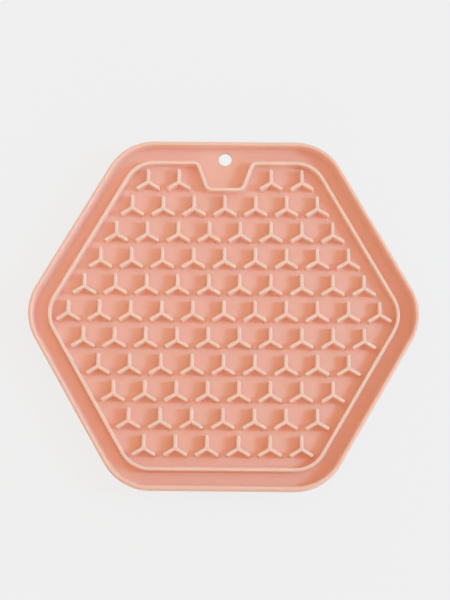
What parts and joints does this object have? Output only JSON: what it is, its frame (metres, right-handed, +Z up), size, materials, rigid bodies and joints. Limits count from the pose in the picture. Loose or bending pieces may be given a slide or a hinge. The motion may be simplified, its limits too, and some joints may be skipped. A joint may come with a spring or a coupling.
{
  "type": "lick mat",
  "caption": "Hexagonal silicone lick mat: a rounded rim, a lower fence that dips round a hanging tab, rows of Y-shaped fins inside it and suction cups below.",
  "frame": {"origin": "centre of the bounding box's underside, level with the suction cups' lips", "axes": "+X runs through the two pointed sides, +Y points to the side with the hanging hole, +Z is up"},
  "size_m": [0.2282, 0.206, 0.0153],
  "materials": {
    "silicone": "matte moulded silicone, peach pink"
  },
  "bodies": {
    "root": {"base_sheet": "silicone", "outer_rim": "silicone", "inner_fence": "silicone", "fin_row_01": "silicone", "fin_row_02": "silicone", "fin_row_03": "silicone", "fin_row_04": "silicone", "fin_row_05": "silicone", "fin_row_06": "silicone", "fin_row_07": "silicone", "fin_row_08": "silicone", "fin_row_09": "silicone", "fin_row_10": "silicone", "fin_row_11": "silicone", "suction_cup_01": "silicone", "suction_cup_02": "silicone", "suction_cup_03": "silicone", "suction_cup_04": "silicone", "suction_cup_05": "silicone", "suction_cup_06": "silicone", "suction_cup_07": "silicone", "suction_cup_08": "silicone", "suction_cup_09": "silicone", "suction_cup_10": "silicone", "suction_cup_11": "silicone", "suction_cup_12": "silicone", "suction_cup_13": "silicone", "suction_cup_14": "silicone", "suction_cup_15": "silicone", "suction_cup_16": "silicone", "suction_cup_17": "silicone", "suction_cup_18": "silicone", "suction_cup_19": "silicone"}
  },
  "joints": []
}
